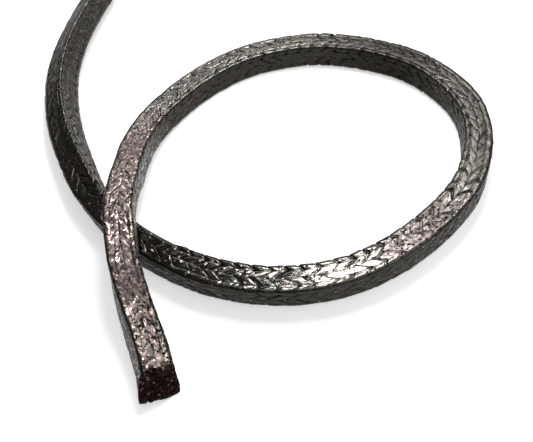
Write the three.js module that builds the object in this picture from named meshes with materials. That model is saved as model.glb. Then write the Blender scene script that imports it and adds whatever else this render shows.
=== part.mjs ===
// A length of square braided graphite gland packing, laid down in one loose loop.
//
// Packing like this is cut to rings that seal a pump shaft or a valve stem. Twelve graphite
// yarns are plaited into one solid square cord and rolled flat on its four faces, so the whole
// length is one piece. One end is cut and lies on top where the cord crosses itself.
// Frame: millimetres, +Z up, the cord lies on the plane z = 0, and the origin is on that plane
// under the middle of the piece.
import * as THREE from 'three';

// Section, as the rolls leave it.
const SIDE = 12; // width and height over the flats
const CORNER_ROUND = 1.4; // radius of the four long edges

// Plait. Each face shows two slanted columns of stitches between two corner columns, and each
// corner column is shared by two faces, which makes twelve columns round the section.
const CORNER_COLUMN = 2.6; // how far a corner column reaches on to each of its two faces
const PITCH = 7; // from one stitch to the next in the same column
const FACE_SLANT = 4.5; // how far a stitch runs ahead from the corner column to the face's middle
const CORNER_SLANT = 2.2; // how far a corner stitch's tip runs ahead of its two sides
const SEAM_DEPTH = 0.4; // depth of the seams between the columns
const SLOT_DEPTH = 0.65; // depth of the slots between stitches that follow each other

// Cut end. The knife went through askew, so the underside reaches further than the top.
const CUT_SLANT = 6; // from the top edge of the cut to its bottom edge, along the cord
const CUT_SPLAY = 2.2; // how far each lower edge spreads where the cut yarns have opened
const SPLAY_LENGTH = 12; // length over which the spread dies out

// Lay. The centre line is a list of places chosen to follow the cord: X and Y, then the lift of
// the underside above the plane, then the roll of the section in degrees, where a positive roll
// raises the side on the right of the direction of travel.
const ROUTE = [
  [-48, -129, 0, -16],
  [-50, -121, 0, -21],
  [-53, -111, 0, -22],
  [-57, -96, 3, -18],
  [-59, -83, 9.4, -11],
  [-60, -70, 12.8, -6],
  [-61, -55, 12.6, -5],
  [-59, -34, 9, -5],
  [-55, -11, 4.2, -4],
  [-45, 9, 1.2, -3],
  [-24, 30, 0, -1],
  [3, 43, 0, 1],
  [35, 45, 0, 1],
  [63, 35, 0, 3],
  [86, 18, 0, 2],
  [100, -8, 0, 0],
  [100, -33, 0, 0],
  [89, -58, 0, -5],
  [72, -75, 0, -5],
  [49, -89, 0, -5],
  [26, -96, 0, -1],
  [2, -96, 0, 1],
  [-20, -90, 0, 1],
  [-40, -79, 0, 0],
  [-60, -62, 0, 0],
  [-76, -40, 0, 9],
  [-88, -11, 0, 22],
  [-96, 18, 0, 29],
  [-99, 49, 0, 31],
  [-96, 77, 0, 32],
  [-89, 104, 0, 30],
  [-80, 130, 0, 26],
];

const HALF = SIDE / 2;
const UP = new THREE.Vector3(0, 0, 1);

// The lay as two curves that share one parameter: where the underside's middle runs, and the roll.
const layCurve = new THREE.CatmullRomCurve3(
  ROUTE.map(([x, y, lift]) => new THREE.Vector3(x, y, lift)),
  false,
  'catmullrom',
);
layCurve.arcLengthDivisions = 2000;
const rollCurve = new THREE.CatmullRomCurve3(
  ROUTE.map(([, , , roll]) => new THREE.Vector3(THREE.MathUtils.degToRad(roll), 0, 0)),
  false,
  'catmullrom',
);
const LENGTH = layCurve.getLength();

// One turn round the section, as places where the surface is modelled. Each has its place on the
// outline (across, height), the way out of the surface there, how far ahead along the cord the
// stitches have run, and whether it lies on a column's crest or in a seam.
function sectionStations() {
  const seam = HALF - CORNER_COLUMN;
  const corner = HALF - CORNER_ROUND * (1 - Math.SQRT1_2);
  const alongFace = [
    { u: -seam, ahead: 0, crest: false },
    { u: -seam / 2, ahead: FACE_SLANT / 2, crest: true },
    { u: 0, ahead: FACE_SLANT, crest: false },
    { u: seam / 2, ahead: FACE_SLANT / 2, crest: true },
    { u: seam, ahead: 0, crest: false },
  ];
  const stations = [];
  for (let face = 0; face < 4; face += 1) {
    const turn = (face * Math.PI) / 2;
    const along = new THREE.Vector2(Math.cos(turn), Math.sin(turn));
    const out = new THREE.Vector2(along.y, -along.x);
    stations.push({
      at: along.clone().multiplyScalar(-corner).addScaledVector(out, corner),
      out: out.clone().sub(along).normalize(),
      ahead: CORNER_SLANT,
      crest: true,
    });
    for (const { u, ahead, crest } of alongFace) {
      stations.push({
        at: along.clone().multiplyScalar(u).addScaledVector(out, HALF),
        out,
        ahead,
        crest,
      });
    }
  }
  // A corner column keeps step with the column on each side of it, and is half a stitch out of
  // step with the next corner's three.
  stations.filter((station) => station.crest).forEach((station, column) => {
    station.step = Math.floor((column + 1) / 3) % 2;
  });
  return stations;
}

// Depth of the surface below the rolled flats at one place of one half-pitch row.
function depthAt(station, row) {
  if (!station.crest) return SEAM_DEPTH;
  return (row + station.step) % 2 === 0 ? 0 : SLOT_DEPTH;
}

// How far the outline reaches below its own centre when the section is rolled.
function reachBelow(stations, roll, distance) {
  const heights = stations.map((station) => {
    const across = station.at.x * splay(station.at.y, distance);
    return across * Math.sin(roll) + station.at.y * Math.cos(roll);
  });
  return -Math.min(...heights);
}

// Centre, side and upward directions of the section at a distance along the cord.
function sectionFrame(stations, distance) {
  const t = layCurve.getUtoTmapping(distance / LENGTH);
  const tangent = layCurve.getTangent(t);
  const roll = rollCurve.getPoint(t).x;
  const centre = layCurve.getPoint(t);
  centre.z = Math.max(centre.z, 0) + reachBelow(stations, roll, distance);
  const level = new THREE.Vector3().crossVectors(tangent, UP).normalize();
  const upright = new THREE.Vector3().crossVectors(level, tangent);
  const side = level.clone().multiplyScalar(Math.cos(roll)).addScaledVector(upright, Math.sin(roll));
  const lift = upright.multiplyScalar(Math.cos(roll)).addScaledVector(level, -Math.sin(roll));
  return { centre, side, lift, tangent };
}

// The stitches' run-ahead dies out towards both ends, so that these are flat cuts.
function runAhead(station, distance) {
  const ramp = PITCH + FACE_SLANT;
  const fromEnd = Math.min(distance, LENGTH - distance);
  return station.ahead * Math.min(1, fromEnd / ramp);
}

// The askew cut moves low places back and high places forward, less and less along the cord.
function cutShift(height, distance) {
  const fade = Math.max(0, 1 - distance / (2 * CUT_SLANT));
  return CUT_SLANT * (height / SIDE) * fade;
}

// Sideways spread of the opened yarns, most at the underside of the cut.
function splay(height, distance) {
  const low = (HALF - height) / SIDE;
  const fade = THREE.MathUtils.clamp(1 - distance / SPLAY_LENGTH, 0, 1) ** 2;
  return 1 + (CUT_SPLAY / HALF) * low * fade;
}

function surfacePoint(stations, station, row, distance) {
  const frame = sectionFrame(stations, distance + runAhead(station, distance));
  const place = station.at.clone().addScaledVector(station.out, -depthAt(station, row));
  return frame.centre
    .addScaledVector(frame.side, place.x * splay(place.y, distance))
    .addScaledVector(frame.lift, place.y)
    .addScaledVector(frame.tangent, cutShift(place.y, distance));
}

// The plaited surface: a ring of stations every half pitch, skinned, with a fan on each end.
function braidedCord() {
  const stations = sectionStations();
  const rows = Math.round(LENGTH / (PITCH / 2));
  const around = stations.length;
  const positions = [];
  for (let row = 0; row <= rows; row += 1) {
    const distance = LENGTH * (row / rows);
    for (const station of stations) {
      positions.push(...surfacePoint(stations, station, row, distance).toArray());
    }
  }
  const indices = [];
  for (let row = 0; row < rows; row += 1) {
    for (let k = 0; k < around; k += 1) {
      const here = row * around + k;
      const next = row * around + ((k + 1) % around);
      indices.push(here, here + around, next);
      indices.push(next, here + around, next + around);
    }
  }
  const last = rows * around;
  for (let k = 1; k < around - 1; k += 1) {
    indices.push(0, k, k + 1);
    indices.push(last, last + k + 1, last + k);
  }
  const geometry = new THREE.BufferGeometry();
  geometry.setAttribute('position', new THREE.Float32BufferAttribute(positions, 3));
  geometry.setIndex(indices);
  geometry.computeVertexNormals();
  return geometry;
}

// Graphite foil yarn: dark grey with a slight brown cast and a metallic shine.
const graphite = new THREE.MeshStandardMaterial({
  color: 0x5d5552,
  roughness: 0.42,
  metalness: 0.85,
});

const cord = new THREE.Mesh(braidedCord(), graphite);
cord.name = 'braided_packing';

const packing = new THREE.Group();
packing.add(cord);

export default packing;
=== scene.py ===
"""Looks of a length of square braided graphite packing that lies in one loose loop on a pale table."""
import bpy
import numpy as np
from mathutils import Matrix, Vector


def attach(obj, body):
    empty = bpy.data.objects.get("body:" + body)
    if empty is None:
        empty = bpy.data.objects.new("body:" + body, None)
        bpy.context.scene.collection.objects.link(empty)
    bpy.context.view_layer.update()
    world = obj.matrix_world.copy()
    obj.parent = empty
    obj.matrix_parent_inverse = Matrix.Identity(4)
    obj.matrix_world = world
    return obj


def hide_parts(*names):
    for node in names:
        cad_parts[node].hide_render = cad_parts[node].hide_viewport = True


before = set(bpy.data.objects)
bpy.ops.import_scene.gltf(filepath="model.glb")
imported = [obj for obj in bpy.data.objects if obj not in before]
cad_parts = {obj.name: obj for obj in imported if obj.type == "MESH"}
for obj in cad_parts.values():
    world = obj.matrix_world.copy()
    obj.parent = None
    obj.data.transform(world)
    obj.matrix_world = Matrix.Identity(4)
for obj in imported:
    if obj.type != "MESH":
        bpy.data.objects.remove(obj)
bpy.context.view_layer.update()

# Sizes in millimetres, the same as in the part's source
MM = 0.001
SIDE = 12.0            # width and height of the square section
HALF = SIDE / 2
CORNER_ROUND = 1.4
CORNER_COLUMN = 2.6    # half the width of the column of stitches that wraps a corner
PITCH = 7.0            # length of one stitch along the cord
FACE_SLANT = 4.5       # how far a stitch runs ahead across a column of a face
CORNER_SLANT = 2.2
CUT_SLANT = 6.0        # how far the cut face leans back from its lowest yarns to its highest
CUT_SPLAY = 2.2        # how far the cut end spreads at its underside
SPLAY_LENGTH = 12.0

# The plait: twelve columns of stitches, of which every third one wraps a corner
COLUMNS = 12
INNER_CORNER = 6       # the column on the upper corner that faces into the loop
INNER_COLUMNS = (4, 6)  # first and last of the inner face's two columns and the inner corner
FACE_COLUMN = HALF - CORNER_COLUMN
COLUMN_WIDTH = 4 * SIDE / COLUMNS    # on average
EDGE_ROUND = 0.6       # the braid's own edges are crisper than those of the plain solid
CROWN = 0.16           # how far the yarns' crowns stand proud of the plain solid's flats

# Places across a column and along a stitch at which the surface has vertices, close at the gaps
ACROSS_CORNER = np.array([-1, -0.86, -0.45, 0, 0.45, 0.86])
ACROSS_FACE = np.array([-1, -0.84, -0.6, 0, 0.6, 0.84])
ROWS_IN_PITCH = np.array([0, 0.04, 0.09, 0.25, 0.41, 0.46, 0.5, 0.54, 0.59, 0.75, 0.91, 0.96])
CAP_RINGS = 14

# Depths of the relief in millimetres: of the gaps and seams, and the most of what varies by stitch
GAP_DEPTH = 0.7
SEAM_DEPTH = 0.45
ROUNDING_DEPTH = 0.05
EDGE_SINK = 0.03
SEAM_SINK = 0.1
STITCH_TIP = 0.085     # at the ends of a stitch, up at one and down at the other
STITCH_LEAN = 0.06
STITCH_LEVEL = 0.03
HIGHEST_STITCH = 0.15  # nothing stands further above the crowns
DEEPEST_AT_CORNER = 0.85
PRESSED_DEPTH = 0.12   # where the two runs press on each other, and more towards the corners
PRESSED_EDGE = 0.45

# Depth and spacing of the yarn's creases, its crumples and the lumps on the corners, in millimetres
CREASE = (0.003, 0.55)
CRUMPLE = (0.012, 1.5)
CORNER_LUMP = (0.1, 3.2)

# Amount and spacing by which a stitch wanders along the cord and round it, in millimetres
WANDER = (0.7, 3.0)
SIDE_WANDER = (0.35, 5.0)

# Half-widths of a gap, as shares of the pitch, and what the inner corner and a bend add to them
CORNER_GAP_WIDTH = 0.034
FACE_GAP_WIDTH = 0.055
INNER_GAP_WIDTH = 0.035
BENT_GAP_WIDTH = 0.012

# How far gaps and seams stand open: on a straight, what a bend adds, the share that rolling takes
# off, and what the inner face's cracks add on the rolled strand past the crossing
OPEN_STRAIGHT = 0.45
OPEN_BENT = 0.75
OPEN_ROLLED = 0.75
OPEN_CRACKED = 0.6
SEAM_POWER = 14        # how sharply a seam sets in across a column
SEAM_REACH = 0.28      # how far it reaches from a gap, as a share of the pitch
ROUNDED_END = 0.25     # length over which a stitch's end rounds off, as a share of the pitch

# The edge of the cut end, in millimetres: the corners sink a little, the edge runs in and out, one of
# the left wall's columns is torn back at its borders, and the lower edge has a notch
FRAY_DEPTH = 0.45
FRAY_REACH = 5.0
UNEVEN_EDGE = 0.9
TORN_COLUMN = 10
TORN_BACK = 0.5
NOTCHED_COLUMN = 1
NOTCH_DEPTH = 1.5

# The two end faces, in millimetres: how rough each is, and the size of their lumps. The shift, in
# lumps, takes them to another part of the noise
CUT_ROUGHNESS = 0.55
PLAIN_ROUGHNESS = 0.25
CAP_LUMP_SIZE = 1.3
CAP_NOISE_SHIFT = 50

# How far the cut face's look reaches back, in millimetres: everywhere, on the walls besides, and the
# amount and spacing by which that is ragged
CUT_LOOK = 0.8
CUT_LOOK_WALL = 4.2
CUT_LOOK_RAGGED = (2.6, 1.1)

# Stretches of the cord, as distances from the cut end
HANDLED_LENGTH = 150.0      # handling has worn the yarns flat and flaky up to here; its pale flakes are painted glints
HANDLED_FADE = 30.0
CALM_RUN = (215.0, 405.0)   # the foil lies smoother and duller here
CALM_FADE = 40.0
SMEARED_RUN = (404.0, 476.0)    # the stitches are rolled almost into one bright sheet here
SCUFFED_RUN = (390.0, 436.0)    # a scuffed stretch, with rose and buff flakes as painted glints, like the handled one
RUN_FADE = 12.0             # at both ends of the smeared run and of the scuffed one
DARK_BEND_AT = 283.0            # middle of a darker stretch in the right bend
DARK_BEND_SPREAD = 28.0
WALL_SHADE_FROM = 430.0      # painted shadow of the leg that crosses over grows on the walls from here to the crossing
WALL_SHADE_FADE = 110.0
TOP_SHADE_FROM = 495.0       # and painted shade on the other faces from here
TOP_SHADE_FADE = 40.0
LEG_END_DARK_RUN = (16.0, 24.0)     # darker on the leg's low end: full up to the first, then fading over the second
TAIL_SHADE_FROM = 545.0          # the rolled strand past the crossing, which is painted darker as shade
TAIL_SHADE_FADE = 40.0
UPPER_RUN = (44.0, 96.0)    # the leg lies over the lower run here, and both press their yarns flat
LOWER_RUN = (520.0, 582.0)
PRESS_FADE = 5.0

# Amounts of painted shade, of darkening and of dusting, from 0 to 1, in the places above
CROSSING_SHADE = 0.6
BEND_DARKENING = 0.5
LEG_END_DARKENING = 0.55
SCUFF_DUST = 0.22

# Painted shade on the rolled strand, from 0 to 1, and what is taken off it on the inner face, which is
# painted lighter there: at the crossing, and the further loss up to the far end
TAIL_SHADE_AMOUNT = 0.75
INNER_FACE_SHADE_OFF = 0.2
INNER_FACE_SHADE_OFF_ONWARD = 0.5

# What is taken off the foil's polish, from 0 to 1
DULL_WALL = 0.6
DULL_TAIL = 0.45
DULL_RUBBED = 0.34
DULL_SCUFFED = 0.15
DULL_CALM = 0.4

# Random numbers: cells of a noise along the cord, and stitches in a column, both more than it has
NOISE_CELLS = 4096
STITCHES = 512

# The lay, repeated from the part's source: X, Y, lift of the underside, roll in degrees
ROUTE = np.array([
    [-48, -129, 0, -16], [-50, -121, 0, -21], [-53, -111, 0, -22], [-57, -96, 3, -18],
    [-59, -83, 9.4, -11], [-60, -70, 12.8, -6], [-61, -55, 12.6, -5], [-59, -34, 9, -5],
    [-55, -11, 4.2, -4], [-45, 9, 1.2, -3], [-24, 30, 0, -1], [3, 43, 0, 1],
    [35, 45, 0, 1], [63, 35, 0, 3], [86, 18, 0, 2], [100, -8, 0, 0],
    [100, -33, 0, 0], [89, -58, 0, -5], [72, -75, 0, -5], [49, -89, 0, -5],
    [26, -96, 0, -1], [2, -96, 0, 1], [-20, -90, 0, 1], [-40, -79, 0, 0],
    [-60, -62, 0, 0], [-76, -40, 0, 9], [-88, -11, 0, 22], [-96, 18, 0, 29],
    [-99, 49, 0, 31], [-96, 77, 0, 32], [-89, 104, 0, 30], [-80, 130, 0, 26],
])
SPINE_POINTS = 600     # along the path that is handed over as the cord's own

# The camera stands where the photograph was taken from: millimetres, degrees and pixels
CAMERA_PLACE = (-1, -208, 208)
CAMERA_PITCH = 54.4
CAMERA_ROLL = -8.1
CAMERA_FOCAL = 578
IMAGE_WIDTH = 533
FILM_WIDTH = 36.0

# Colours of the graphite: bright foil, painted glints, walls and gaps in painted shade, the cut yarns
TOP_GREEN = "#6b6c65"
TOP_BROWN = "#79726d"
# Rose and buff: pale specks that are painted glints on the handled foil
ROSE_GLINT = "#b99da6"
BUFF_GLINT = "#b5a18c"
# The walls' colours are painted shade: the side faces drawn darker than top and bottom
SHADED_WALL = "#363731"
WALL_BROWN = "#493a34"
STREAK = "#3f3a37"
# Black painted shade for the gaps, seams and cracks
GAP_SHADE = "#0a0807"
CUT_FACE = "#2a1e1a"
CUT_SPECK = "#b5a69c"
TABLE_WHITE = "#f4f4f4"
WHITE = "#ffffff"

# Sizes of the patterns in the foil, in millimetres: first along the yarn, then across it. The real
# foil's flakes and creases are finer, and these are as coarse as the render needs to show them
STREAK_SIZE = (2.5, 0.27)
STROKE_SIZE = (1.33, 0.78)
FACET_SIZE = (1.33, 1.27)
PATCH_SIZE = 3.85
FLAKE_SIZE = 0.95
CUT_YARN_SIZE = 1.25
STREAK_HEIGHT = 0.04

# Slopes of the facets and flakes against the flat, and the share of flakes that are loose
FACET_TILT = 0.15
FLAKE_TILT = 0.45
LOOSE_FLAKES = 0.05

# Softboxes as the cord sees them: azimuth from +Y towards +X, elevation, width and height, all in
# degrees, then the distance in metres and the brightness of the face
SOFTBOXES = {
    "key": (10, 60, 15, 11, 0.35, 24.0),
    "key_right": (17.5, 48, 10, 7, 1.6, 21.0),
    "back_left_low": (-5, 26, 20, 6, 1.6, 3.4),
    "back_left": (-2, 37, 26, 14, 1.6, 1.25),
    "back_right": (31, 46, 26, 12, 1.6, 0.75),
    "right": (85, 54, 54, 20, 1.5, 1.1),
    "overhead": (60, 84, 30, 26, 1.5, 1.3),
    "front_right": (140, 42, 40, 30, 1.6, 0.45),
}
LAMP_TARGET = Vector((0.026, -0.094, 0.012))    # metres: on the near strand
WORLD_STRENGTH = 0.12
TABLE_SIZE = 6.0       # metres
TABLE_DROP = 0.55      # millimetres, so that the lowest crowns just clear the table
TABLE_GLOW = 0.55      # what the lamps leave short of white on the table


def hex_linear(code):
    """An sRGB hex colour as linear red, green, blue and alpha: the sRGB curve undone on each channel."""
    srgb = np.array([int(code[i:i + 2], 16) for i in (1, 3, 5)]) / 255
    linear = np.where(srgb <= 0.04045, srgb / 12.92, ((srgb + 0.055) / 1.055) ** 2.4)
    return (*linear.tolist(), 1.0)


def make_camera():
    """A camera pitched down along +Y and then rolled about its own line of sight."""
    pitch = np.radians(CAMERA_PITCH)
    roll = np.radians(CAMERA_ROLL)
    forward = np.array([0, np.cos(pitch), -np.sin(pitch)])
    right = np.array([1.0, 0, 0])
    up = np.cross(right, forward)
    rolled_right = np.cos(roll) * right + np.sin(roll) * up
    rolled_up = -np.sin(roll) * right + np.cos(roll) * up
    data = bpy.data.cameras.new("camera")
    data.sensor_width = FILM_WIDTH
    data.lens = CAMERA_FOCAL * FILM_WIDTH / IMAGE_WIDTH
    data.clip_start = 0.005
    camera = bpy.data.objects.new("camera", data)
    axes = np.column_stack([rolled_right, rolled_up, -forward])
    camera.matrix_world = Matrix(axes.tolist()).to_4x4()
    camera.location = [c * MM for c in CAMERA_PLACE]
    bpy.context.collection.objects.link(camera)
    bpy.context.scene.camera = camera


def spline(values, t):
    """Uniform Catmull-Rom curve: between two places it is the cubic through both, with each slope half
    the step between the neighbours. The first and last step are repeated beyond the ends."""
    padded = np.vstack([2 * values[0] - values[1], values, 2 * values[-1] - values[-2]])
    k = np.clip(np.floor(t).astype(int), 0, len(values) - 2)
    f = (t - k)[..., None]
    p0, p1, p2, p3 = (padded[k + i] for i in range(4))
    v1 = (p2 - p0) / 2
    v2 = (p3 - p1) / 2
    cubic = 2 * p1 - 2 * p2 + v1 + v2
    square = -3 * p1 + 3 * p2 - 2 * v1 - v2
    return ((cubic * f + square) * f + v1) * f + p1, (3 * cubic * f + 2 * square) * f + v1


def arc_table(samples=20001):
    """The curve's own parameter at even steps, and the distance run along the lay at each of them."""
    t = np.linspace(0, len(ROUTE) - 1, samples)
    places, _ = spline(ROUTE[:, :3], t)
    steps = np.linalg.norm(np.diff(places, axis=0), axis=1)
    return t, np.concatenate([[0], np.cumsum(steps)])


ARC_T, ARC_S = arc_table()
LENGTH = ARC_S[-1]


def ramp(value, start, reach):
    """0 up to a start, rising evenly to 1 over a reach."""
    return np.clip((value - start) / reach, 0, 1)


def on_run(distance, run, fade):
    """1 on a run along the cord, rising and falling evenly over a fade just inside each of its ends."""
    return ramp(distance, run[0], fade) * (1 - ramp(distance, run[1] - fade, fade))


def rounded_square(across):
    """Point and outward normal on the section's outline at a distance run round the sharp square, from
    its lower left corner: the sharp point is pulled on to an arc where it is near a corner."""
    face, u = np.divmod(across, SIDE)
    turn = face * np.pi / 2
    along = np.stack([np.cos(turn), np.sin(turn)], -1)
    out = np.stack([along[..., 1], -along[..., 0]], -1)
    sharp = along * (u - HALF)[..., None] + out * HALF
    inner = np.clip(sharp, -(HALF - EDGE_ROUND), HALF - EDGE_ROUND)
    normal = sharp - inner
    normal /= np.linalg.norm(normal, axis=-1)[..., None]
    return inner + normal * EDGE_ROUND, normal


def frames_at(distance):
    """Centre, side, upward and forward directions of the section at distances along the lay. The
    centre stands as high over the lift as the rolled square reaches below its own centre."""
    t = np.interp(distance, ARC_S, ARC_T)
    place, slope = spline(ROUTE[:, :3], t)
    roll = np.radians(spline(ROUTE[:, 3:], t)[0][..., 0])
    forward = slope / np.linalg.norm(slope, axis=-1)[..., None]
    level = np.stack([forward[..., 1], -forward[..., 0], np.zeros_like(roll)], -1)
    level /= np.linalg.norm(level, axis=-1)[..., None]
    upright = np.cross(level, forward)
    cos = np.cos(roll)[..., None]
    sin = np.sin(roll)[..., None]
    reach = (HALF - CORNER_ROUND) * (np.abs(cos) + np.abs(sin))[..., 0] + CORNER_ROUND
    place[..., 2] = np.maximum(place[..., 2], 0) + reach
    beyond = distance - np.clip(distance, 0, LENGTH)
    place += forward * beyond[..., None]
    return place, level * cos + upright * sin, upright * cos - level * sin, forward


def lattice_noise(x, y, around, seed):
    """Smooth noise from -1 to 1: random values on a whole-number lattice, blended by smoothstep, and
    repeating after a given number of cells in x."""
    table = np.random.default_rng(seed).uniform(-1, 1, (around, NOISE_CELLS))
    x0 = np.floor(x).astype(int)
    y0 = np.floor(y).astype(int)
    fx = x - x0
    fy = y - y0
    fx = fx * fx * (3 - 2 * fx)
    fy = fy * fy * (3 - 2 * fy)
    a = table[x0 % around, y0 % NOISE_CELLS]
    b = table[(x0 + 1) % around, y0 % NOISE_CELLS]
    c = table[x0 % around, (y0 + 1) % NOISE_CELLS]
    d = table[(x0 + 1) % around, (y0 + 1) % NOISE_CELLS]
    return (a * (1 - fx) + b * fx) * (1 - fy) + (c * (1 - fx) + d * fx) * fy


def column_grid():
    """Column number, place across the column from -1 to 1, and distance round the sharp square, of each
    station round the section. Column 0 wraps the first corner, and three columns start each face."""
    column = np.repeat(np.arange(COLUMNS), len(ACROSS_CORNER))
    kind = column % 3
    v = np.where(kind == 0, np.tile(ACROSS_CORNER, COLUMNS), np.tile(ACROSS_FACE, COLUMNS))
    centre = np.choose(kind, [0, CORNER_COLUMN + FACE_COLUMN / 2, CORNER_COLUMN + 1.5 * FACE_COLUMN])
    half_width = np.choose(kind, [CORNER_COLUMN, FACE_COLUMN / 2, FACE_COLUMN / 2])
    return column, v, (column // 3) * SIDE + centre + v * half_width


def row_grid():
    """Distances of the rows: the same few places in every pitch, from end to end."""
    pitches = int(np.floor(LENGTH / PITCH))
    stretch = LENGTH / (pitches * PITCH)
    rows = (np.arange(pitches)[:, None] + ROWS_IN_PITCH).ravel() * PITCH * stretch
    return np.append(rows, LENGTH)


def bending(distance):
    """How tightly the lay bends, from 0 for straight to 1 for the tightest bend: the change of direction
    over one pitch on each side, as a share of the largest such change, and the root of that."""
    ahead = frames_at(np.minimum(distance + PITCH, LENGTH))[3]
    behind = frames_at(np.maximum(distance - PITCH, 0))[3]
    turn = 1 - (ahead * behind).sum(-1)
    return np.sqrt(np.clip(turn / turn.max(), 0, 1))


def handled(distance):
    """1 from the cut end on, falling to 0 over a fade at the end of the handled stretch."""
    return 1 - ramp(distance, HANDLED_LENGTH - HANDLED_FADE, HANDLED_FADE)


def flattened(distance):
    """How far the stitches are rolled into each other: 1 on the handled stretch, 0.7 on the smeared run
    and 0 elsewhere."""
    return np.maximum(handled(distance), 0.7 * on_run(distance, SMEARED_RUN, RUN_FADE))


def braid_relief(column, v, distance, q):
    """Depth below the plain solid's flats, darkness of the gaps, which is painted shade, and the yarn's
    own tone. A gap before and after each stitch is a narrow bell along the cord, and a seam between
    columns grows with the fourteenth power of the place across.
    inner corner, and less where it was rolled flat. Each stitch rounds off at its ends and edges, stands
    at random higher or lower and tipped or leaning, and has fine creases along its yarn."""
    step = ((column + 1) // 3) % 2
    phase = distance / PITCH + 0.5 * step
    stitch = np.floor(phase).astype(int)
    w = phase - stitch
    table = np.random.default_rng(3).uniform(-1, 1, (6, COLUMNS, STITCHES))
    low, tip, lean, gape, part, tone = (t[column, stitch % STITCHES] for t in table)
    on_corner = column % 3 == 0
    from_gap = np.minimum(w, 1 - w)
    bent = bending(distance)
    inner = bent * (column == INNER_CORNER)
    rolled = flattened(distance)
    opened = (OPEN_STRAIGHT + OPEN_BENT * bent) * (1 - OPEN_ROLLED * rolled)
    on_inner_face = (column >= INNER_COLUMNS[0]) & (column <= INNER_COLUMNS[1])
    opened = opened + OPEN_CRACKED * ((distance > TAIL_SHADE_FROM) & on_inner_face)
    width = np.where(on_corner, CORNER_GAP_WIDTH, FACE_GAP_WIDTH) * (0.75 + 0.5 * opened + 0.3 * gape)
    width = width + INNER_GAP_WIDTH * inner + BENT_GAP_WIDTH * bent
    gap = np.clip((0.6 + 0.9 * gape) * opened + 0.7 * inner, 0.05, 1) * np.exp(-(from_gap / width) ** 2)
    parted = bent * (column == INNER_CORNER + 1) * (v < 0)
    seam = np.clip((0.35 + 0.65 * part) * opened + parted, 0.02, 1) * np.abs(v) ** SEAM_POWER
    seam = seam * np.exp(-(from_gap / SEAM_REACH) ** 2)
    rounded = ROUNDING_DEPTH * (1 - ramp(from_gap, 0, ROUNDED_END)) ** 2 + EDGE_SINK * v ** 2
    rounded = (rounded + SEAM_SINK * np.abs(v) ** SEAM_POWER) * (1 - 0.6 * rolled)
    set_in = STITCH_TIP * tip * (w - 0.5) * 2 + STITCH_LEAN * lean * v + STITCH_LEVEL * low
    creases = CREASE[0] * lattice_noise(q * 1.5, distance / CREASE[1], COLUMNS * 3 // 2, 5)
    crumple = CRUMPLE[0] * lattice_noise(q * 3, distance / CRUMPLE[1], COLUMNS * 3, 6)
    lumps = CORNER_LUMP[0] * lattice_noise(q, distance / CORNER_LUMP[1], COLUMNS, 7) * on_corner
    depth = GAP_DEPTH * gap + SEAM_DEPTH * seam + rounded + set_in + creases + crumple + lumps
    return np.maximum(depth, -HIGHEST_STITCH) - CROWN, np.clip(gap + seam, 0, 1), tone


def press_flat(depth, point, distance):
    """Sinks the crowns where the two runs lie on each other: on the upper run's underside and the lower
    run's top the depth is raised to a least value, which grows towards the corners."""
    on_flat = ramp(np.abs(point[..., 1]), HALF - 2.5, 1.5)
    upper = on_run(distance, UPPER_RUN, PRESS_FADE)
    lower = on_run(distance, LOWER_RUN, PRESS_FADE)
    pressed = on_flat * np.where(point[..., 1] < 0, upper, lower)
    least = PRESSED_DEPTH + PRESSED_EDGE * ramp(np.abs(point[..., 0]), HALF - 2, 2)
    return depth + pressed * np.clip(least - depth, 0, 1)


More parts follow.
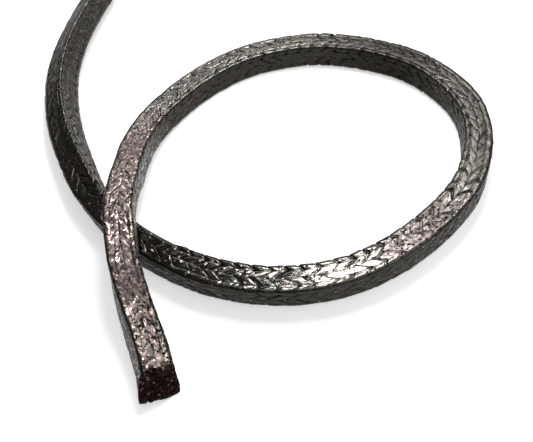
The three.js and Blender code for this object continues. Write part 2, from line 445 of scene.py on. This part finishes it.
def surface_marks(x, y, distance, q, dark, tone):
    """What the material reads at each vertex, from 0 to 1, but for the tone from -1 to 1. The gap shade is
    the painted shade in a gap, or the darkening of the place if that is more: painted shade towards the
    crossing, a darker stretch in the right bend and on the leg's low end, and the scuffed run's dusting.
    The shade on the walls is 1 on the two side faces and 0 on top and bottom, which paints the sides
    darker, and past the crossing it follows the painted shade on the rolled strand. Along the edge between
    the two upper faces there, a bell across it stays bright as a painted highlight. The cut face reaches
    back from the end by a ragged few millimetres. Dull is the most of what takes the polish off."""
    side_face = np.clip((np.abs(x) - np.abs(y)) / 1.5 + 0.5, 0, 1)
    # Painted shade on the rolled strand past the crossing, partly taken off its inner face
    tail_shade = ramp(distance, TAIL_SHADE_FROM, TAIL_SHADE_FADE)
    onward = ramp(distance, TAIL_SHADE_FROM, LENGTH - TAIL_SHADE_FROM)
    # A painted highlight: the edge between the two upper faces there is left out of the painted shade
    edge_highlight = np.exp(-((x - y) / 0.8) ** 2) * (y > 0) * tail_shade
    shade_off = np.where(x > 0, (INNER_FACE_SHADE_OFF + INNER_FACE_SHADE_OFF_ONWARD * onward) * side_face, 0)
    # Painted shade: the side faces darker than top and bottom, and the rolled strand past the crossing too
    wall_shade = side_face * (1 - tail_shade) + tail_shade * (TAIL_SHADE_AMOUNT - shade_off)
    # Painted shade towards the crossing, on the walls first and then on the other faces
    crossing_wall_shade = ramp(distance, WALL_SHADE_FROM, WALL_SHADE_FADE) * wall_shade
    shade_and_darkening = np.maximum(crossing_wall_shade, ramp(distance, TOP_SHADE_FROM, TOP_SHADE_FADE)) * (1 - tail_shade)
    # Darker in the right bend, and on the top and bottom of the leg's low end
    bend_darkening = BEND_DARKENING * np.exp(-((distance - DARK_BEND_AT) / DARK_BEND_SPREAD) ** 2)
    shade_and_darkening = np.maximum(CROSSING_SHADE * shade_and_darkening, bend_darkening)
    shade_and_darkening = np.maximum(shade_and_darkening, LEG_END_DARKENING * (1 - ramp(distance, *LEG_END_DARK_RUN)) * (1 - wall_shade))
    scuffed = on_run(distance, SCUFFED_RUN, RUN_FADE)
    shade_and_darkening = np.maximum(shade_and_darkening, SCUFF_DUST * scuffed)
    wall_shade = wall_shade * (1 - 0.8 * edge_highlight)
    ragged = lattice_noise(q * 3, distance / CUT_LOOK_RAGGED[1], COLUMNS * 3, 12)
    reach = CUT_LOOK + CUT_LOOK_WALL * wall_shade + CUT_LOOK_RAGGED[0] * ragged
    cut_face = np.clip(2 * (reach - distance), 0, 1)
    calm = on_run(distance, CALM_RUN, CALM_FADE)
    rubbed_and_glints = np.maximum(handled(distance), 0.4 * scuffed)
    matt = np.maximum(DULL_WALL * side_face, DULL_TAIL * tail_shade) * (1 - edge_highlight)
    worn = np.maximum(DULL_RUBBED * rubbed_and_glints + DULL_SCUFFED * scuffed, DULL_CALM * calm)
    dull = np.maximum(np.maximum(cut_face, matt), worn)
    return {"gap_shade_and_darkening": np.maximum(dark, shade_and_darkening), "wall_shade": wall_shade, "tone": tone, "rubbed_and_glints": rubbed_and_glints, "calm": calm,
            "cracked": tail_shade * (x > 0) * (1 - edge_highlight), "browned": tail_shade * (x < 0), "cut_face": cut_face,
            "dull": dull}


def braid_surface():
    """Vertices of the braided surface, one row of stations after another, with each vertex's marks and
    its pattern coordinates, which count columns and pitches. A station is the section's outline moved
    inwards by the relief, set ahead by the slant of its stitch, and wandering a little by noise. At the
    cut end the rows lean back with the height in the section, fray, and spread towards the underside."""
    column, v, across = column_grid()
    distance, column = np.meshgrid(row_grid(), column, indexing="ij")
    v = np.broadcast_to(v, distance.shape)
    across = np.broadcast_to(across, distance.shape)
    kind = column % 3
    q = column + v / 2
    inside = ramp(np.minimum(distance, LENGTH - distance), 0, PITCH + FACE_SLANT)
    slants = [CORNER_SLANT * (1 - np.abs(v)), FACE_SLANT * (1 + v) / 2, FACE_SLANT * (1 - v) / 2]
    wander = WANDER[0] * lattice_noise(q * 2, distance / WANDER[1], COLUMNS * 2, 8)
    ahead = np.choose(kind, slants) + wander
    sideways = SIDE_WANDER[0] * lattice_noise(q, distance / SIDE_WANDER[1], COLUMNS, 9)
    point, normal = rounded_square((across + sideways * inside) % (4 * SIDE))
    depth, dark, tone = braid_relief(column, v, distance, q)
    depth = press_flat(depth, point, distance)
    depth = np.where(kind == 0, np.minimum(depth, DEEPEST_AT_CORNER), depth)
    frayed = np.exp(-(distance / FRAY_REACH) ** 2) * np.where(kind == 0, 1 - np.abs(v), 0)
    depth = depth + FRAY_DEPTH * frayed
    place = point - normal * depth[..., None]
    x = place[..., 0]
    y = place[..., 1]
    centre, side, up, forward = frames_at(distance + ahead * inside)
    near_cut = 1 - ramp(distance, 0, 2 * CUT_SLANT)
    uneven = UNEVEN_EDGE * lattice_noise(q, np.zeros_like(q), COLUMNS, 11)
    torn = TORN_BACK * (column == TORN_COLUMN) * np.abs(v) ** 4
    notch = NOTCH_DEPTH * (column == NOTCHED_COLUMN) * (v < -0.95)
    cut = CUT_SLANT * (y / SIDE) * near_cut + near_cut ** 3 * (uneven + torn + notch)
    splay = 1 + (CUT_SPLAY / HALF) * ((HALF - y) / SIDE) * (1 - ramp(distance, 0, SPLAY_LENGTH)) ** 2
    points = centre + side * (x * splay)[..., None] + up * y[..., None] + forward * cut[..., None]
    marks = surface_marks(x, y, distance, q, dark, tone)
    return points, marks, np.stack([q, distance / PITCH], -1)


def end_cap(ring, outward, roughness, seed):
    """Rings of vertices that shrink from the rim to the middle of a cut face, pushed in and out by
    noise that stands for the cut yarn ends, with one vertex in the middle."""
    middle = ring.mean(0)
    share = 1 - (np.arange(1, CAP_RINGS) / CAP_RINGS)[:, None, None]
    points = middle + (ring - middle) * share
    flat = points - middle
    local = np.random.default_rng(seed).uniform(-0.5, 0.5, points.shape[:2])
    aside = flat[..., 0] / CAP_LUMP_SIZE
    along = (flat[..., 1] + flat[..., 2]) / CAP_LUMP_SIZE + CAP_NOISE_SHIFT
    broad = lattice_noise(aside, along, 64, seed)
    points = points + outward * ((local + broad) * roughness)[..., None]
    return np.vstack([points.reshape(-1, 3), middle[None]])


def grid_triangles(rows, around, start=0):
    """Two triangles for each cell of a grid that closes on itself in its second direction."""
    r, k = np.meshgrid(np.arange(rows - 1), np.arange(around), indexing="ij")
    here = (start + r * around + k).ravel()
    beside = (start + r * around + (k + 1) % around).ravel()
    return np.concatenate([
        np.stack([here, here + around, beside], 1),
        np.stack([beside, here + around, beside + around], 1),
    ])


def cap_triangles(rim, first, around):
    """Triangles from a rim of the surface through a cap's rings to its middle vertex."""
    k = np.arange(around)
    beside = (k + 1) % around
    outer = np.stack([rim + k, first + k, rim + beside], 1)
    inner = np.stack([rim + beside, first + k, first + beside], 1)
    last = first + (CAP_RINGS - 2) * around
    pole = np.stack([last + k, np.full(around, last + around), last + beside], 1)
    return np.concatenate([outer, inner, grid_triangles(CAP_RINGS - 1, around, first), pole])


def mesh_object(name, vertices, triangles):
    """A smooth mesh object at the origin, from points in metres and triangles, each as one array."""
    mesh = bpy.data.meshes.new(name)
    mesh.vertices.add(len(vertices))
    mesh.vertices.foreach_set("co", vertices.astype(np.float32).ravel())
    mesh.loops.add(triangles.size)
    mesh.loops.foreach_set("vertex_index", triangles.astype(np.int32).ravel())
    mesh.polygons.add(len(triangles))
    mesh.polygons.foreach_set("loop_start", np.arange(0, triangles.size, 3, dtype=np.int32))
    mesh.polygons.foreach_set("use_smooth", np.ones(len(triangles), dtype=bool))
    mesh.update(calc_edges=True)
    mesh.validate()
    obj = bpy.data.objects.new(name, mesh)
    bpy.context.collection.objects.link(obj)
    return obj


def make_packing():
    """The whole length in one closed mesh: the braided surface and a rough cap on each end, the marks as
    vertex attributes, and the pattern coordinates as a UV map that is unrolled where a face wraps."""
    points, marks, pattern = braid_surface()
    rows, around = points.shape[:2]
    forward = frames_at(np.array([0.0, LENGTH]))[3]
    cut = end_cap(points[0], -forward[0], CUT_ROUGHNESS, 21)
    plain = end_cap(points[-1], forward[1], PLAIN_ROUGHNESS, 22)
    body = points.reshape(-1, 3)
    vertices = np.vstack([body, cut, plain])
    triangles = np.concatenate([
        grid_triangles(rows, around),
        cap_triangles(0, len(body), around)[:, ::-1],
        cap_triangles((rows - 1) * around, len(body) + len(cut), around),
    ])
    packing = mesh_object("braided_cord", vertices * MM, triangles)
    on_caps = len(vertices) - len(body)
    for name, values in marks.items():
        capped = np.full(on_caps, 1.0 if name in ("cut_face", "dull") else 0.0)
        layer = packing.data.attributes.new(name, "FLOAT", "POINT")
        layer.data.foreach_set("value", np.concatenate([values.ravel(), capped]).astype(np.float32))
    uv = np.zeros((len(vertices), 2))
    uv[:len(body)] = pattern.reshape(-1, 2)
    loops = np.empty(len(packing.data.loops), dtype=np.int32)
    packing.data.loops.foreach_get("vertex_index", loops)
    corners = uv[loops].reshape(-1, 3, 2)
    wraps = np.ptp(corners[..., 0], axis=1) > COLUMNS / 2
    corners[..., 0] += np.where(wraps[:, None] & (corners[..., 0] < COLUMNS / 2), COLUMNS, 0)
    layer = packing.data.uv_layers.new(name="UVMap")
    layer.data.foreach_set("uv", corners.astype(np.float32).ravel())
    return packing


def add_node(tree, kind, settings=None, links=None):
    """Adds one node, sets its properties and its inputs, by name or number, and links others to outputs."""
    node = tree.nodes.new(kind)
    for key, value in (settings or {}).items():
        if isinstance(key, str) and hasattr(node, key) and key not in node.inputs:
            setattr(node, key, value)
        else:
            node.inputs[key].default_value = value
    for key, source in (links or {}).items():
        tree.links.new(source, node.inputs[key])
    return node


def per_metre(size):
    """The scale of a pattern on metres whose features are a size in millimetres."""
    return 1 / (size * MM)


def on_yarn(sizes):
    """The scale of a pattern on columns and pitches, from its sizes along the yarn and across it: a
    column's width over the first and the pitch over the second, as the yarn runs across its column."""
    return COLUMN_WIDTH / sizes[0], PITCH / sizes[1], 1.0


def expanded_graphite_yarn():
    """Expanded graphite foil, slit, folded to yarn, braided and rolled flat. It looks like dark metal:
    streaks along the yarn, facets of foil that each lie at a slightly other tilt and so flash or stay
    dark, small flakes that lie steeper, many of them pale rose or buff where the cord was handled as
    painted glints, each stitch more greenish or more brownish, dull green-black walls painted darker as
    shade, and black painted shade in the gaps. The cut face shows dark brown yarn ends with a few
    bright specks."""
    material = bpy.data.materials.new("expanded_graphite_yarn_calendered")
    material.use_nodes = True
    tree = material.node_tree
    tree.nodes.clear()
    place = add_node(tree, "ShaderNodeTexCoord").outputs
    names = ("gap_shade_and_darkening", "wall_shade", "tone", "rubbed_and_glints", "calm", "cracked", "browned", "cut_face", "dull")
    mark = {name: add_node(tree, "ShaderNodeAttribute", {"attribute_name": name}).outputs["Fac"]
            for name in names}

    # The patterns: streaks, strokes and facets follow the yarn, the rest is strewn over the surface
    lines = add_node(tree, "ShaderNodeMapping", {"Scale": on_yarn(STREAK_SIZE)}, {"Vector": place["UV"]})
    streaks = add_node(tree, "ShaderNodeTexNoise", {"Scale": 1.0, "Detail": 3.0},
                       {"Vector": lines.outputs[0]})
    dashes = add_node(tree, "ShaderNodeMapping", {"Scale": on_yarn(STROKE_SIZE)}, {"Vector": place["UV"]})
    strokes = add_node(tree, "ShaderNodeTexNoise", {"Scale": 1.0, "Detail": 2.0},
                       {"Vector": dashes.outputs[0]})
    cells = add_node(tree, "ShaderNodeMapping", {"Scale": on_yarn(FACET_SIZE)}, {"Vector": place["UV"]})
    facets = add_node(tree, "ShaderNodeTexVoronoi", {"Scale": 1.0}, {"Vector": cells.outputs[0]})
    patches = add_node(tree, "ShaderNodeTexNoise", {"Scale": per_metre(PATCH_SIZE), "Detail": 3.0},
                       {"Vector": place["Object"]})
    flakes = add_node(tree, "ShaderNodeTexVoronoi", {"Scale": per_metre(FLAKE_SIZE)},
                      {"Vector": place["Object"]})
    chance = add_node(tree, "ShaderNodeSeparateColor", None, {"Color": flakes.outputs["Color"]}).outputs
    yarn_ends = add_node(tree, "ShaderNodeTexNoise", {"Scale": per_metre(CUT_YARN_SIZE), "Detail": 4.0},
                         {"Vector": place["Object"]})

    # Greenish or brownish foil, by patches and by the stitch's own tone, with darker streaks
    toned = add_node(tree, "ShaderNodeMath", {"operation": "MULTIPLY_ADD", 1: 0.14},
                     {0: mark["tone"], 2: patches.outputs["Fac"]})
    browner = add_node(tree, "ShaderNodeMapRange", {"From Min": 0.38, "From Max": 0.62},
                       {"Value": toned.outputs[0]})
    foil = add_node(tree, "ShaderNodeMix",
                    {"data_type": "RGBA", 6: hex_linear(TOP_GREEN), 7: hex_linear(TOP_BROWN)},
                    {"Factor": browner.outputs[0]})
    streaked = add_node(tree, "ShaderNodeMath", {"operation": "MULTIPLY_ADD", 1: -0.7, 2: 0.665},
                        {0: streaks.outputs["Fac"]})
    lined = add_node(tree, "ShaderNodeMix", {"data_type": "RGBA", 7: hex_linear(STREAK)},
                     {"Factor": streaked.outputs[0], 6: foil.outputs[2]})

    # Rose and buff flakes where the cord was handled: pale specks that are painted glints
    glint_odds = add_node(tree, "ShaderNodeMath", {"operation": "POWER", 1: 2.0}, {0: chance[1]})
    pale = add_node(tree, "ShaderNodeMath", {"operation": "MULTIPLY"},
                    {0: glint_odds.outputs[0], 1: mark["rubbed_and_glints"]})
    flake = add_node(tree, "ShaderNodeMix",
                     {"data_type": "RGBA", 6: hex_linear(ROSE_GLINT), 7: hex_linear(BUFF_GLINT)},
                     {"Factor": chance[2]})
    glinted = add_node(tree, "ShaderNodeMix", {"data_type": "RGBA"},
                      {"Factor": pale.outputs[0], 6: lined.outputs[2], 7: flake.outputs[2]})

    # Walls painted darker as shade, with reddish patches, then short black strokes of painted shade in
    # cracks, which crowd where the foil has cracked and on the calm run
    stained = add_node(tree, "ShaderNodeMath", {"operation": "MULTIPLY_ADD", 1: 0.12},
                       {0: mark["browned"], 2: patches.outputs["Fac"]})
    redder = add_node(tree, "ShaderNodeMapRange", {"From Min": 0.53, "From Max": 0.63},
                      {"Value": stained.outputs[0]})
    wall_shade_tint = add_node(tree, "ShaderNodeMix",
                         {"data_type": "RGBA", 6: hex_linear(SHADED_WALL), 7: hex_linear(WALL_BROWN)},
                         {"Factor": redder.outputs[0]})
    wall_shaded = add_node(tree, "ShaderNodeMix", {"data_type": "RGBA"},
                      {"Factor": mark["wall_shade"], 6: glinted.outputs[2], 7: wall_shade_tint.outputs[2]})
    cracks = add_node(tree, "ShaderNodeMath", {"operation": "MULTIPLY_ADD", 1: 0.07},
                      {0: mark["cracked"], 2: strokes.outputs["Fac"]})
    more = add_node(tree, "ShaderNodeMath", {"operation": "MULTIPLY_ADD", 1: 0.06},
                    {0: mark["calm"], 2: cracks.outputs[0]})
    # The strokes are painted shade in small cracks
    stroke = add_node(tree, "ShaderNodeMapRange", {"From Min": 0.62, "From Max": 0.68, "To Max": 0.92},
                      {"Value": more.outputs[0]})
    crack_shaded = add_node(tree, "ShaderNodeMix", {"data_type": "RGBA", 7: hex_linear(GAP_SHADE)},
                       {"Factor": stroke.outputs[0], 6: wall_shaded.outputs[2]})

    # Black painted shade in the gaps, and the cut yarn ends with their specks
    gap_shaded = add_node(tree, "ShaderNodeMix", {"data_type": "RGBA", 7: hex_linear(GAP_SHADE)},
                      {"Factor": mark["gap_shade_and_darkening"], 6: crack_shaded.outputs[2]})
    speck = add_node(tree, "ShaderNodeMapRange", {"From Min": 0.6, "From Max": 0.68, "To Max": 0.8},
                     {"Value": yarn_ends.outputs["Fac"]})
    cut_tint = add_node(tree, "ShaderNodeMix",
                        {"data_type": "RGBA", 6: hex_linear(CUT_FACE), 7: hex_linear(CUT_SPECK)},
                        {"Factor": speck.outputs[0]})
    colour = add_node(tree, "ShaderNodeMix", {"data_type": "RGBA"},
                      {"Factor": mark["cut_face"], 6: gap_shaded.outputs[2], 7: cut_tint.outputs[2]})

    # Each facet and each loose flake turns the normal its own way; facets lie flatter on the calm run
    facet_way = add_node(tree, "ShaderNodeVectorMath", {"operation": "SUBTRACT", 1: (0.5, 0.5, 0.5)},
                         {0: facets.outputs["Color"]})
    facet_slope = add_node(tree, "ShaderNodeMath",
                           {"operation": "MULTIPLY_ADD", 1: -0.65 * FACET_TILT, 2: FACET_TILT},
                           {0: mark["calm"]})
    facet_turn = add_node(tree, "ShaderNodeVectorMath", {"operation": "SCALE"},
                          {0: facet_way.outputs[0], "Scale": facet_slope.outputs[0]})
    flake_way = add_node(tree, "ShaderNodeVectorMath", {"operation": "SUBTRACT", 1: (0.5, 0.5, 0.5)},
                         {0: flakes.outputs["Color"]})
    likely = add_node(tree, "ShaderNodeMath", {"operation": "MULTIPLY_ADD", 1: 0.36},
                      {0: mark["rubbed_and_glints"], 2: chance[0]})
    loose = add_node(tree, "ShaderNodeMath", {"operation": "GREATER_THAN", 1: 1 - LOOSE_FLAKES},
                     {0: likely.outputs[0]})
    flake_slope = add_node(tree, "ShaderNodeMath", {"operation": "MULTIPLY", 1: FLAKE_TILT},
                           {0: loose.outputs[0]})
    flake_turn = add_node(tree, "ShaderNodeVectorMath", {"operation": "SCALE"},
                          {0: flake_way.outputs[0], "Scale": flake_slope.outputs[0]})
    bump = add_node(tree, "ShaderNodeBump", {"Strength": 0.3, "Distance": STREAK_HEIGHT * MM},
                    {"Height": streaks.outputs["Fac"]})
    turned = add_node(tree, "ShaderNodeVectorMath", {"operation": "ADD"},
                      {0: facet_turn.outputs[0], 1: bump.outputs["Normal"]})
    lifted = add_node(tree, "ShaderNodeVectorMath", {"operation": "ADD"},
                      {0: turned.outputs[0], 1: flake_turn.outputs[0]})
    normal = add_node(tree, "ShaderNodeVectorMath", {"operation": "NORMALIZE"}, {0: lifted.outputs[0]})

    # Rolled foil is polished, and duller by patches, on walls, on the calm run and on the cut face, but
    # a loose flake keeps its polish and so glints there too
    polish = add_node(tree, "ShaderNodeMapRange",
                      {"From Min": 0.3, "From Max": 0.7, "To Min": 0.1, "To Max": 0.25},
                      {"Value": patches.outputs["Fac"]})
    lying = add_node(tree, "ShaderNodeMath", {"operation": "MULTIPLY_ADD", 1: -0.5, 2: 0.5},
                     {0: loose.outputs[0]})
    rough = add_node(tree, "ShaderNodeMath", {"operation": "MULTIPLY_ADD"},
                     {0: mark["dull"], 1: lying.outputs[0], 2: polish.outputs[0]})
    shader = add_node(tree, "ShaderNodeBsdfPrincipled", {"Metallic": 1.0},
                      {"Base Color": colour.outputs[2], "Roughness": rough.outputs[0],
                       "Normal": normal.outputs[0]})
    add_node(tree, "ShaderNodeOutputMaterial", None, {"Surface": shader.outputs["BSDF"]})
    return material


def white_laminate():
    """White laminate, matt: an even white ground with a soft shadow. To the lens, and to what mirrors it,
    it also glows by what the lamps leave short of white."""
    material = bpy.data.materials.new("white_laminate_matt")
    material.use_nodes = True
    tree = material.node_tree
    tree.nodes.clear()
    shader = add_node(tree, "ShaderNodeBsdfPrincipled",
                      {"Base Color": hex_linear(TABLE_WHITE), "Roughness": 0.7})
    rays = add_node(tree, "ShaderNodeLightPath").outputs
    seen = add_node(tree, "ShaderNodeMath", {"operation": "MAXIMUM"},
                    {0: rays["Is Camera Ray"], 1: rays["Is Glossy Ray"]})
    seen = add_node(tree, "ShaderNodeMath", {"operation": "MAXIMUM"},
                    {0: seen.outputs[0], 1: rays["Is Transmission Ray"]})
    strength = add_node(tree, "ShaderNodeMath", {"operation": "MULTIPLY", 1: TABLE_GLOW},
                        {0: seen.outputs[0]})
    glow = add_node(tree, "ShaderNodeEmission", {"Color": hex_linear(WHITE)},
                    {"Strength": strength.outputs[0]})
    both = add_node(tree, "ShaderNodeAddShader", None,
                    {0: shader.outputs["BSDF"], 1: glow.outputs["Emission"]})
    add_node(tree, "ShaderNodeOutputMaterial", None, {"Surface": both.outputs["Shader"]})
    return material


def make_softbox(name, azimuth, elevation, width, height, distance, brightness):
    """A flat lamp that faces the near strand from a direction. Its power follows from the brightness
    of its face, and its size from the angle that it fills."""
    turn = np.radians(azimuth)
    climb = np.radians(elevation)
    towards = Vector((np.sin(turn) * np.cos(climb), np.cos(turn) * np.cos(climb), np.sin(climb)))
    data = bpy.data.lights.new(name, "AREA")
    data.shape = "RECTANGLE"
    data.size, data.size_y = (2 * distance * np.tan(np.radians(angle) / 2) for angle in (width, height))
    data.energy = brightness * np.pi * data.size * data.size_y
    lamp = bpy.data.objects.new(name, data)
    lamp.location = LAMP_TARGET + towards * distance
    lamp.rotation_euler = towards.to_track_quat("Z", "Y").to_euler()
    bpy.context.collection.objects.link(lamp)


def make_studio():
    """The dim room, the softboxes and the table under the cord."""
    scene = bpy.context.scene
    scene.view_settings.view_transform = "Standard"
    scene.world = bpy.data.worlds.new("studio")
    scene.world.use_nodes = True
    background = scene.world.node_tree.nodes["Background"]
    background.inputs["Color"].default_value = hex_linear(WHITE)
    background.inputs["Strength"].default_value = WORLD_STRENGTH
    for name, values in SOFTBOXES.items():
        make_softbox(name, *values)
    bpy.ops.mesh.primitive_plane_add(size=TABLE_SIZE, location=(0, 0, -TABLE_DROP * MM))
    table = bpy.context.object
    table.name = "table_top"
    table.data.materials.append(white_laminate())


make_camera()
packing = make_packing()
packing.data.materials.append(expanded_graphite_yarn())
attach(packing, "root")
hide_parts("braided_packing")
spine = frames_at(np.linspace(-CUT_SLANT / 2, LENGTH, SPINE_POINTS))[0] * MM
make_studio()
